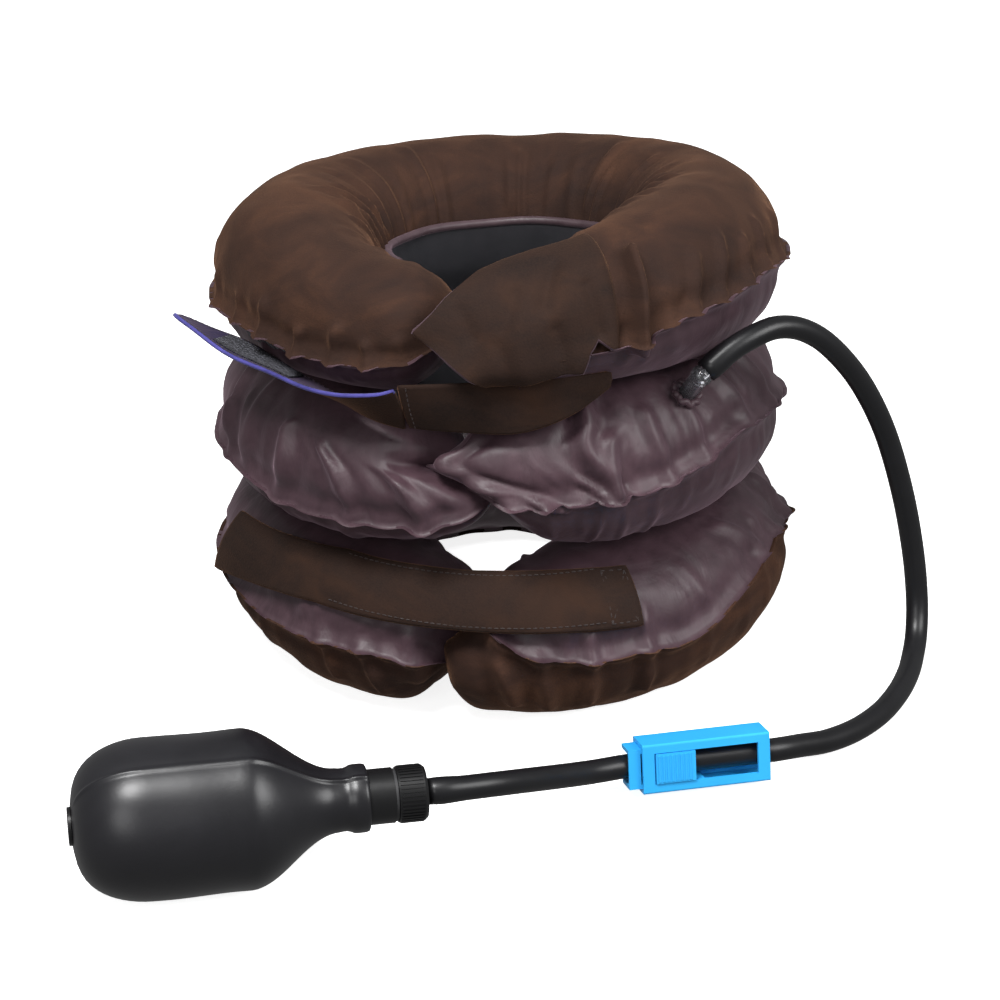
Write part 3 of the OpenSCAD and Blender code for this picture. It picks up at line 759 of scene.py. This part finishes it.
def wrinkles(k, t, phi, points, rng):
    """How far each point of cover k moves outwards, in mm."""
    s = np.radians(t) * RING_R * 1.2
    v = np.radians(phi) * TUBE_R
    seam_v = np.radians(seam_angle(k, t)) * TUBE_R
    off = v - seam_v
    far = np.radians(360) * TUBE_R
    off = np.where(off > far / 2, off - far, off)
    move = 1.3 * noise_field(points, 46.0, 5 + k) + 0.55 * noise_field(points, 17.0, 9 + k)
    if k != 2:
        move += 0.35 * noise_field(points * np.array([1, 1, 0.6]), 8.0, 13 + k)
    move -= 2.3 * np.exp(-(off / 2.6) ** 2) - 0.9 * np.exp(-((abs(off) - 6.5) / 3.5) ** 2)
    count, reach, depth = PUCKERS[k]
    span = s.max() - s.min()
    whole = np.clip(np.minimum(s - s.min(), s.max() - s) / 10.0, 0, 1)  # where the ring angle starts again
    folds = np.zeros_like(move)
    for i in range(count):
        x = s.min() + span * (i + rng.uniform(0.15, 0.85)) / count
        for side in (1, -1):
            far_end = reach * rng.uniform(0.45, 1.25) * side
            lean = rng.uniform(-4, 4)
            near = np.abs(s - x) < 16
            if not near.any() or rng.random() < 0.12:
                continue
            deep = depth * (0.15 + 0.85 * rng.random() ** 2) * (1.0 if side > 0 else 0.8)
            wide = rng.uniform(1.7, 3.0)
            calm = 1 - 0.9 * np.exp(-(off[near] / 5.0) ** 2)
            folds[near] += calm * crease(s[near], off[near], (x, 4.0 * side), (x + lean, far_end), wide, deep, 0.15)
    # slack cloth on the hole's side gathers in soft folds that run round the section
    for i in range(SOFT_FOLDS):
        x = s.min() + span * (i + rng.uniform(0.1, 0.9)) / SOFT_FOLDS
        a, b = rng.uniform(100, 135), rng.uniform(165, 205)
        lean = rng.uniform(-9, 9)
        near = np.abs(s - x) < 22
        deep, wide = rng.uniform(0.4, 1.5), rng.uniform(2.4, 4.2)
        at = (x, math.radians(a) * TUBE_R)
        folds[near] += crease(s[near], v[near], at, (x + lean, math.radians(b) * TUBE_R), wide, deep)
    if k > 0:
        folds *= 1 - 0.75 * np.exp(-((t - 84) / 16.0) ** 2)
    move += folds * whole
    for t0, p0, t1, p1, wide, deep in FOLDS[k]:
        at = (math.radians(t0) * RING_R * 1.2, math.radians(p0) * TUBE_R)
        to = (math.radians(t1) * RING_R * 1.2, math.radians(p1) * TUBE_R)
        lap = np.where(v > math.radians(250) * TUBE_R, v - far, v)
        near = np.abs(s - at[0]) < 60
        move[near] += crease(s[near], lap[near], at, to, wide, deep, 0.0 if deep > 8 else 0.10 if k == 2 else 0.35)
    return move


def press(points, limit, below):
    """Softly flattens points against a plane given by a matrix in mm: keeps them below it, or above it."""
    inv = np.array(limit.inverted())
    local = points @ inv[:3, :3].T + inv[:3, 3]
    h = local[..., 2] * (-1 if below else 1)
    soft = 1.6
    h = 0.5 * (h + np.sqrt(h * h + soft * soft)) + PRESS_GAP
    keep = local.copy()
    keep[..., 2] = h * (-1 if below else 1)
    m = np.array(limit)
    return keep @ m[:3, :3].T + m[:3, 3]


MOST_MOVE = 6.0  # mm that the cloth solver may move a point
PRESS_GAP = 0.15
FLOOR_M = Matrix.Identity(4)
TUCK = 1.6  # mm that a cloth's edge turns in at a seam


def cover(k, names, nodes, mats, bladder):
    """Both cloths of tube k's cover, and the air bladder in it."""
    rng = random.Random(SHAPES[k]["seed"])
    coarse = inflate(k)
    t, phi, _ = tube_grid(k, ROWS, COLS)
    grid = finer(coarse, ROWS, COLS)
    nor = -normals_of(grid, True)
    ends = np.clip(np.minimum(np.arange(ROWS + 1), ROWS - np.arange(ROWS + 1)) / 10.0, 0, 1)[:, None]
    move = wrinkles(k, t, phi, grid, rng) * ends
    if k == 2:  # nothing stands up under the flap
        under = (t > -15) & (t < 21.5) & ((phi < 84) | (phi > 325))
        move = np.where(under, np.minimum(move, 0.0), move)
    world = place(TUBE_M[k], grid + nor * np.clip(move, -9, 1.5)[..., None])
    world = flatten(k, world)
    nor = -normals_of(world, True)
    half = COLS // 2
    body = "lower_tube_and_pump" if k == 0 else "upper_tubes"
    made = []
    for part, (first, last) in enumerate(((0, half), (half, COLS))):
        columns = [c % COLS for c in range(first, last + 1)]
        face = world[:, columns]
        inward = nor[:, columns]
        left = face[:, :1] - inward[:, :1] * TUCK
        right = face[:, -1:] - inward[:, -1:] * TUCK
        panel = np.concatenate([left, face, right], 1)
        n, m = panel.shape[:2]
        pts = list(panel.reshape(-1, 3))
        faces = [(p, p + 1, p + m + 1, p + m) for i in range(n - 1) for p in range(i * m, i * m + m - 1)]
        for row, turn in ((0, 1), (n - 1, -1)):
            faces.append(tuple([row * m + j for j in range(m)][::turn]))
        obj = add_object(names[part], pts, faces, [mats[part]])
        belongs(face_outwards(obj), body, nodes[part])
        made.append(obj)
    coarse = coarse[8:-8]  # the bladder stops short of the cover's ends
    centre = coarse.mean(axis=1, keepdims=True)
    thin = flatten(k, place(TUBE_M[k], centre + (coarse - centre) * 0.84))
    inside = add_object(bladder + "_film", *closed_tube(thin), [CLEAR])
    made.append(belongs(inside, body, bladder))
    soften(made, k)


NARROWER = [1.5, 6.5, 7.0]  # mm that the tubes' right sides stand further in


def squeezed(k, world):
    world = world.copy()
    world[..., 0] -= NARROWER[k] * np.clip(world[..., 0] / 116.0, 0, 1.1) ** 2
    return world


def flatten(k, world):
    world = squeezed(k, world)
    if k < 2:
        world = press(world, PLANE_M[k], True)
    return press(world, PLANE_M[k - 1] if k > 0 else FLOOR_M, False)


def soften(pieces, k):
    """Gives each of the collar's pieces its own copy of its mesh."""
    for p in pieces:
        if k == 0:
            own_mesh(p)
        else:
            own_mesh(p)


# the bottom cover's lower panel takes the velour copy with painted light
cover(0, ["bottom_cover_satin", "bottom_cover_velour"], ["bottom_cover_top", "bottom_cover_base"],
      [SATIN, LIT_BASE_VELOUR], "bottom_bladder")
cover(1, ["middle_cover_upper_satin", "middle_cover_lower_satin"], ["middle_cover_upper", "middle_cover_lower"],
      [SATIN, SATIN], "middle_bladder")
cover(2, ["top_cover_velour", "top_cover_satin"], ["top_cover_upper", "top_cover_lower"],
      [VELOUR, SATIN], "top_bladder")


# ---------------------------------------------------------------- straps and the flap

def lay(k, t, phi, lift):
    """Points lift mm off tube k's tapered surface, at ring and section angles."""
    rad, centre_r, centre_z, _ = section(k, t)
    rad = rad + lift
    a, q = np.radians(t), np.radians(phi)
    rr = centre_r + rad * np.cos(q)
    return place(TUBE_M[k], ring_points(a, rr, centre_z + rad * np.sin(q)))


def full(k, t, phi, radius):
    """Points at a section radius round the tube's untapered centre line."""
    t, phi, radius = np.broadcast_arrays(*(np.asarray(v, float) for v in (t, phi, radius)))
    a, q = np.radians(t), np.radians(phi)
    rr = RING_R + radius * np.cos(q)
    return place(TUBE_M[k], ring_points(a, rr, radius * np.sin(q)))


def make_lower_strap():
    n, m = 120, 26
    u, v = steps(n, m)
    t = -72 + 98 * u + 0 * v
    low = np.interp(t, (-72, -62, -50, -40, -10, 10, 26), (6, 13, 20, 24, 25, 23, 20))
    high = np.interp(t, (-72, -60, -50, -37, -8, 9, 26), (43, 49, 54, 60, 61, 61, 57))
    phi = low + (high - low) * v
    wave = 0.5 * np.sin(u * 21) * np.sin(v * 3.1) + 0.35 * np.sin(u * 34 + 2) * (v - 0.5)
    free = np.clip((0.16 - u) / 0.16, 0, 1) ** 1.5
    lift = wave + free * (2.5 + 1.5 * (1 - v))
    strap = thick_sheet("lower_strap_velour", full(0, t, phi, 36.8 + lift), 1.6, [STRAP_VELOUR, NAVY, STRAP_VELOUR])
    made = [belongs(strap, "lower_strap", "lower_strap")]

    def row(t0, p0, t1, p1, n=30):
        w = np.linspace(0, 1, n)
        return vectors(full(0, t0 + (t1 - t0) * w, p0 + (p1 - p0) * w, 37.75))

    box = [(25.2, 23.0, 25.2, 54.5), (20.0, 23.5, 20.0, 56.0), (20.0, 23.5, 25.2, 23.0), (20.0, 56.0, 25.2, 54.5),
           (20.0, 23.5, 25.2, 54.5), (20.0, 56.0, 25.2, 23.0), (-36, 27.5, 19.0, 25.0), (-36, 57.5, 19.0, 58.0)]
    for i, (t0, p0, t1, p1) in enumerate(box):
        s = stitches(f"lower_strap_stitching_{i + 1}", row(t0, p0, t1, p1), 2.4, 1.7, 0.22, [THREAD])
        made.append(belongs(s, "lower_strap"))
    return made


def patch(name, node, body, k, t0, t1, a0, a1, radius, mat, slot_name):
    """Piece of tape on tube k from ring angle t0 to t1; a0 and a1 are its edges' section angles at both ends."""
    n, m = 26, 16
    u, v = steps(n, m)
    low, high = a0[0] + (a0[1] - a0[0]) * u, a1[0] + (a1[1] - a1[0]) * u
    grid = full(k, t0 + (t1 - t0) * u + 0 * v, low + (high - low) * v, radius)
    obj = thick_sheet(name, grid, 0.8, [mat, mat, mat], flip=True)
    return belongs(obj, body, node)


def make_upper_band():
    n, m = 60, 24
    u, v = steps(n, m)
    t = -19.4 + 39.4 * u + 0 * v
    a = np.radians(t)
    low = -11.0 + 15.0 * np.clip((u - 0.5) / 0.5, 0, 1) ** 1.8
    lean = np.radians(27 * np.clip(1 - u / 0.75, 0, 1) ** 1.3)
    z = low + (9.0 - low) * v
    r = 113.0 + (z + 1.0) * np.sin(lean) + 0.9 * np.sin(v * math.pi) + 0.4 * np.sin(u * 17) * (1 - v)
    z = -1.0 + (z + 1.0) * np.cos(lean)
    grid = place(PLANE_M[1], ring_points(a, r, z + 0 * u))
    band = thick_sheet("upper_strap_band_velour", grid, 1.6, [SHADED_VELOUR, NAVY, SHADED_VELOUR])
    belongs(band, "upper_tubes", "upper_strap_band")
    front = [p + Vector((math.sin(a[2, 0]), -math.cos(a[2, 0]), 0)) * 0.9 for p in vectors(grid[2])]
    row = stitches("upper_strap_seam_stitching", front, 2.2, 1.6, 0.22, [THREAD])
    return [band, belongs(row, "upper_tubes")]


TAIL_LINE = [(-39.3, -107.1, 134.6), (-48, -106.0, 134.5), (-58, -102, 135), (-69, -95, 136.5), (-80, -86.5, 138.5),
             (-91, -77, 140.5), (-102, -68.5, 143), (-114, -60.5, 146.5), (-127, -53, 151)]
TAIL_LEAN = [27, 42, 52, 60, 68, 74, 75, 72, 68]


def make_tail():
    """The upper strap's free end, hanging off the collar with its lined face turned up."""
    line = vectors(TAIL_LINE)
    ups = []
    for i, p in enumerate(line):
        ahead = (line[min(i + 1, len(line) - 1)] - line[max(i - 1, 0)]).normalized()
        side = ahead.cross(Vector((0, 0, 1))).normalized()
        lean = math.radians(TAIL_LEAN[i])
        ups.append(side.cross(ahead) * math.cos(lean) - side * math.sin(lean))
    both = np.array([[*p, *(p + u)] for p, u in zip(line, ups)])
    n = 90
    fine, far = (resample(spline(side, 1.5), n) for side in (both[:, :3], both[:, 3:]))
    up = far - fine
    up /= np.linalg.norm(up, axis=1, keepdims=True)
    u = np.linspace(0, 1, n)
    half = 10.5 * (1 - 0.45 * np.clip((u - 0.62) / 0.38, 0, 1) ** 1.5)
    half *= np.sqrt(1 - 0.8 * np.clip((u - 0.93) / 0.07, 0, 1) ** 2)
    m = 22
    v = np.linspace(-1, 1, m)
    grid = fine[:, None, :] + up[:, None, :] * (half[:, None] * v[None, :])[..., None]
    nor = normals_of(grid)
    grid = grid + nor * (0.5 * np.sin(u * 15)[:, None] * v[None, :] + 0.4 * (v ** 2)[None, :])[..., None]
    corner = np.clip(1 - u / 0.08, 0, 1)[:, None] ** 2 * np.clip(v, 0, 1)[None, :]
    grid[..., 0] -= 2.0 * corner  # leaves the band's end room when the tail swings
    tail = thick_sheet("upper_strap_tail_cloth", grid, 1.6, [NAVY, SHADED_VELOUR, EDGE_BLUE])
    for p in tail.data.polygons:
        if p.material_index == 2 and p.center.x > -0.0415:
            p.material_index = 1
    made = [belongs(tail, "upper_strap_tail", "upper_strap_tail")]
    nor = normals_of(grid)
    a, b = int(0.44 * n), int(0.80 * n)
    pad = thick_sheet("upper_hook_pad_tape", grid[a:b, 3:-3] + nor[a:b, 3:-3] * 1.2, 0.8, [HOOK, HOOK, HOOK])
    made.append(belongs(pad, "upper_strap_tail", "upper_hook_pad"))
    for name, j in (("upper", -2), ("lower", 1)):
        line = vectors(grid[3:-2, j] + nor[3:-2, j] * 0.85)
        s = stitches(f"upper_strap_tail_{name}_stitching", line, 2.4, 1.7, 0.2, [THREAD])
        made.append(belongs(s, "upper_strap_tail"))
    return made


# The flap is the top cover's loose end that laps over the other end.
# Its two long edges, from the fold to the tip: ring angle, section angle
FLAP_LOW = [(22, -15), (19, -13), (16.5, -6), (15, -12), (13.5, -26), (4, -31), (-4, -34), (-8, -17), (-13, 1),
            (-16, 11)]
FLAP_HIGH = [(22, 84), (14, 86), (7, 84), (0, 78), (-5, 68), (-8, 54), (-11, 40), (-13, 28), (-15, 19), (-16.5, 13)]

# Soft folds in the flap: ring and section angle of both ends, half width and depth in mm
FLAP_FOLDS = [(10, 56, 7, 26, 3.2, 1.6), (2, 40, 0, 12, 2.8, 1.2), (15.5, 34, 17, -2, 2.6, 1.8),
              (-8, 30, -6, 8, 3.0, 1.0), (9, 6, 10.5, -24, 3.0, 1.4), (-1, 0, 1, -28, 3.0, 1.2)]


FLAP_LIFT = 2.6  # mm off the cover


def make_flap():
    n, m = 110, 90
    low, high = resample(FLAP_LOW, n), resample(FLAP_HIGH, n)
    v = np.linspace(0, 1, m)[None, :, None]
    tp = low[:, None, :] * (1 - v) + high[:, None, :] * v
    t, phi = tp[..., 0], tp[..., 1]
    w = np.linspace(0, 1, m)[None, :]
    rise = ease(np.clip((22.0 - t) / 2.6, 0, 1)) * 1.9 - 0.9
    waves = 0.9 * np.sin(t * 0.42 + phi * 0.03) * (1 - w) + 0.7 * np.sin(t * 0.25 - phi * 0.08 + 1)
    edge = (1 - w) ** 3 * (0.8 + 1.1 * np.sin(t * 0.55 + 0.6))
    rad, _, _, _ = section(2, t)
    swell = FLAP_LIFT * rise + 2.6 * np.exp(-((phi + 24) / 15.0) ** 2) * np.clip(rise, 0, 1)
    for t0, p0, t1, p1, wide, deep in FLAP_FOLDS:
        at = (math.radians(t0) * RING_R * 1.3, math.radians(p0) * rad)
        s, v = np.radians(t) * RING_R * 1.3, np.radians(phi) * rad
        bx, by = math.radians(t1 - t0) * RING_R * 1.3, np.radians(p1 - p0) * rad
        along = np.clip(((s - at[0]) * bx + (v - at[1]) * by) / (bx * bx + by * by), 0, 1)
        off = np.hypot(s - at[0] - along * bx, v - at[1] - along * by) / wide
        swell = swell - deep * np.exp(-off * off)
    grid = lay(2, t, phi, swell + (waves + edge) * np.clip(rise, 0, 1))
    grid = squeezed(2, grid)
    # the flap's top face takes the velour copy with painted shade
    flap = thick_sheet("top_cover_flap", grid, 1.7, [SHADED_VELOUR, SATIN, SATIN], flip=True)
    return [belongs(flap, "upper_tubes")]


soften(make_lower_strap(), 0)
soften([patch("lower_loop_patch_tape", "lower_loop_patch", "lower_tube_and_pump", 0, -70, -46, (11, 24), (40, 52),
              34.2, LOOP, "loop_tape"),
        patch("lower_hook_pad_tape", "lower_hook_pad", "lower_strap", 0, -68, -48, (13, 24), (40, 51),
              35.3, HOOK, "hook_tape")], 0)
soften([patch("upper_loop_patch_tape", "upper_loop_patch", "upper_tubes", 2, -62, -40, (-31, -36), (-17, -25),
              33.9, LOOP, "loop_tape")], 2)
soften(make_upper_band(), 1)
soften(make_tail(), 1)
soften(make_flap(), 2)


# ---------------------------------------------------------------- lining inside the hole

def ring_sheet(name, rows, t0, t1, thick, mats, n=220):
    """Sheet of revolution through rows of (matrix, ring radius, height), spline smoothed."""
    a = np.radians(np.linspace(t0, t1, n))
    lines = np.array([place(m, ring_points(a, r, np.full(n, float(z)))) for m, r, z in rows]).transpose(1, 0, 2)
    grid = np.array([resample(spline(line, 2.0), 34) for line in lines])
    return thick_sheet(name, grid, thick, mats)


def make_lining():
    rows = [(PLANE_M[0], 57.5, 1.0), (PLANE_M[0], 54.0, 8.0), (TUBE_M[1], 49.4, -12.0), (TUBE_M[1], 47.6, 0.0),
            (TUBE_M[1], 48.6, 14.0), (PLANE_M[1], 51.0, 2.0), (TUBE_M[2], 48.8, -14.0), (TUBE_M[2], 47.4, BINDING_Z)]
    # the upper web is near-black, painted shade for the deep shadow in the hole
    upper = ring_sheet("inner_lining", rows, LINING_T[0], LINING_T[1], 1.0, [SHADE_LINING, SHADE_LINING, SHADE_LINING])
    belongs(upper, "upper_tubes", "upper_joining_web")
    n = 240
    a = np.radians(np.linspace(LINING_T[0], LINING_T[1], n))
    line = place(TUBE_M[2], ring_points(a, 47.6, BINDING_Z + 0.25 * np.sin(a * 7)))
    binding = swept_tube("lining_binding", vectors(line), [1.7] * n, 14, [BINDING])
    belongs(binding, "upper_tubes")
    rows = [(PLANE_M[0], 60.5, -7.0), (PLANE_M[0], 58.6, -3.5), (PLANE_M[0], 58.2, 0.0), (PLANE_M[0], 58.8, 3.5)]
    lower = ring_sheet("lower_joining_lining", rows, LINING_T[0], LINING_T[1], 0.8, [SHADE_LINING, SHADE_LINING, SHADE_LINING])
    belongs(lower, "lower_tube_and_pump", "lower_joining_web")
    soften([upper, binding], 1)
    soften([lower], 0)


LINING_T = (34.0, 298.0)
BINDING_Z = 3.5
make_lining()


def make_air_links():
    for name, node, k, t, body in (("lower_air_link_tube", "lower_air_link", 0, 150, "lower_tube_and_pump"),
                                   ("upper_air_link_tube", "upper_air_link", 1, 210, "upper_tubes")):
        path = [PLANE_M[k] @ on_ring(RING_R, t, z) for z in np.linspace(-8, 8, 12)]
        link = swept_tube(name, path, [4.5] * 12, 24, [CLEAR])
        soften([belongs(link, body, node)], k)


make_air_links()


# ---------------------------------------------------------------- pump

BULB_R, BULB_LONG, BULB_WALL = 28.5, 104.0, 2.2
INLET_R = 6.9  # the inlet valve's hole in the bulb's back
MOULD_AT = 0.42  # where the mould line runs, in radians from the top


def make_bulb():
    """Rubber bulb with a mould line over it, a dimple at its back, and a rolled neck."""
    axis = Vector((math.cos(math.radians(BULB_TURN)), math.sin(math.radians(BULB_TURN)), 0))
    profile = []
    back = -BULB_LONG
    for i in range(15):  # back dome, from its middle
        q = math.radians(90 * (i / 14) ** 0.85)
        profile.append((back + 26 * (1 - math.cos(q)), max(INLET_R, BULB_R * math.sin(q) ** 0.62) if i else INLET_R))
    profile += [(x, BULB_R) for x in np.linspace(back + 28, -46, 14)]
    for w in np.linspace(0.03, 1, 22):
        profile.append((-44 + 33 * w, BULB_R + (11.4 - BULB_R) * ease(w)))
    profile += [(-9.5, 11.2), (-8, 11.2), (-6.8, 11.5), (-5.6, 12.1), (-4, 12.25), (-1.4, 12.2), (-0.3, 11.9),
                (0, 11.3)]
    inner = [(max(x, back + BULB_WALL), r - BULB_WALL) for x, r in profile if r > 9.4 and x < -9]
    profile += ([(back + BULB_WALL, INLET_R)] + inner + [(0, 9.0)])[::-1]

    def change(x, r, a):
        off = (a + math.pi) % (2 * math.pi) - math.pi
        line = 0.0
        for at in (MOULD_AT, MOULD_AT - math.pi):
            d = (off - at + math.pi) % (2 * math.pi) - math.pi
            line += 0.75 * math.exp(-(d * max(r, 4) / 0.8) ** 2)
        body = min(1, max(0, (-14 - x) / 20))
        p = Vector((x / 34, math.cos(a) * r / 34, math.sin(a) * r / 34))
        sag = 0.45 * noise.noise(p * 1.7 + Vector((4, 4, 4))) * body
        return min(r + line * min(1, max(0, (r - 7.2) / 3)) * (r > 11.0 or x > -95) + sag, 28.95), x

    bulb = lathe("bulb_rubber_body", profile, BULB_RIM, axis, 288, [BULB], change)
    belongs(bulb, "lower_tube_and_pump", "bulb")


make_bulb()


def make_gather():
    """Satin gathered round the foot of the air inlet."""
    foot, out = Vector((68.0, -78.2, 129.0)), Vector((0.404, -0.465, 0.788))
    side = out.cross(Vector((0, 0, 1))).normalized()
    up = side.cross(out)
    path = []
    for i in range(73):
        a = 2 * math.pi * i / 72
        r = 5.0 + 0.45 * math.sin(9 * a)
        path.append(foot + out * (0.6 + 0.4 * math.sin(7 * a + 1)) + (side * math.cos(a) + up * math.sin(a)) * r)
    ring = swept_tube("inlet_gather_satin", path, [1.3] * 73, 12, [SATIN])
    soften([belongs(ring, "upper_tubes")], 1)


make_gather()

CARRIED = {
    "bulb_connector": PLASTIC, "screw_cap": PLASTIC, "outlet_valve_disc": VALVE, "outlet_valve_retainer": GREY,
    "sealing_washer": VALVE, "inlet_valve_seat": PLASTIC, "inlet_valve_retainer": GREY, "inlet_valve_disc": VALVE,
    "clamp_housing": BLUE, "clamp_slide": BLUE, "air_inlet_elbow": CLEAR,
}
for node, mat in CARRIED.items():
    for place_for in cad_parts[node].material_slots:
        place_for.material = mat

# ---------------------------------------------------------------- floor and light

def make_stage():
    bpy.ops.mesh.primitive_plane_add(size=8, location=(0, 0, -0.0003))
    floor = bpy.context.object
    floor.name = "floor"
    m, n = material("pale_floor")
    n.put(Base_Color=(0.9, 0.9, 0.9), Roughness=0.9, Specular_IOR_Level=0.1, Emission_Color=(1, 1, 1),
          Emission_Strength=0.85)
    floor.data.materials.append(m)
    floor.visible_diffuse = floor.visible_glossy = False
    world = bpy.data.worlds.new("studio")
    bpy.context.scene.world = world
    world.use_nodes = True
    back = world.node_tree.nodes["Background"]
    back.inputs["Color"].default_value = (1, 1, 1, 1)
    back.inputs["Strength"].default_value = 0.24


def soft_light(name, at, toward, size, power):
    data = bpy.data.lights.new(name, "AREA")
    data.energy = power
    data.shape = "DISK"
    data.size = size
    light = bpy.data.objects.new(name, data)
    bpy.context.scene.collection.objects.link(light)
    light.location = at
    light.rotation_euler = (Vector(toward) - Vector(at)).to_track_quat("-Z", "Y").to_euler()


bpy.context.scene.view_settings.view_transform = "Standard"
make_stage()
soft_light("key", (-0.30, -0.60, 1.25), (0, -0.03, 0.08), 0.50, 19.0)
soft_light("front", (-0.45, -1.25, 0.62), (-0.02, -0.1, 0.06), 0.6, 3.2)
soft_light("fill", (0.85, -0.55, 0.75), (0, 0, 0.08), 0.7, 9.0)
